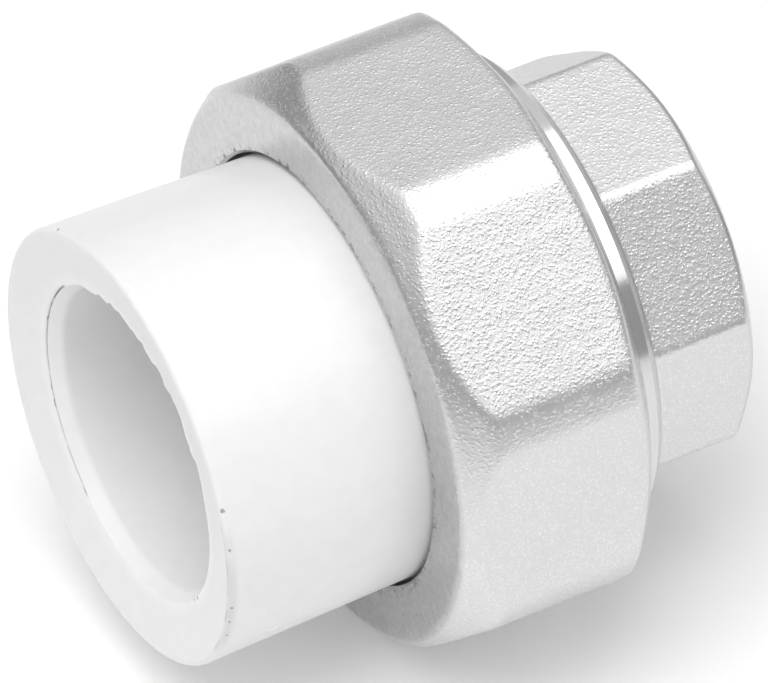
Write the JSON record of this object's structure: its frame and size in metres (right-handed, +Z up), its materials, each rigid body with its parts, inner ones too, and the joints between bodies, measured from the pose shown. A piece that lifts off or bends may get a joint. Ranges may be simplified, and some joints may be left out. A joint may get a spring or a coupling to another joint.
{
  "type": "pipe union",
  "caption": "Pipe union joining a cemented plastic pipe to a threaded metal pipe: socket tailpiece, O-ring, octagonal union nut and female threaded end.",
  "frame": {"origin": "on the pipe axis, halfway between the socket's mouth and the threaded end's face", "axes": "+X along the pipe axis, out of the female threaded end; +Z up, square to a flat of the union nut, which lies down on the flat at -Z"},
  "size_m": [0.0484, 0.0474, 0.0474],
  "materials": {
    "white_pvc": "glossy moulded plastic",
    "cast_stainless": "shot-blasted casting with turned faces",
    "epdm_rubber": "matt"
  },
  "bodies": {
    "threaded_half": {"threaded_end": "cast_stainless", "sealing_ring": "epdm_rubber"},
    "socket_half": {"socket_tailpiece": "white_pvc"},
    "nut": {"union_nut": "cast_stainless"}
  },
  "joints": [
    {"name": "tailpiece_draw", "type": "slide", "parent": "threaded_half", "child": "socket_half", "axis": [-1, 0, 0], "range_m": [0, 0.00924]},
    {"name": "nut_turn", "type": "hinge", "parent": "socket_half", "child": "nut", "pos_m": [0.0027, 0, 0], "axis": [-1, 0, 0], "range_deg": [0, 1440]}
  ],
  "couplings": [
    {"joint": "nut_turn", "follows": "tailpiece_draw", "rad_per_m": 2721.2}
  ]
}
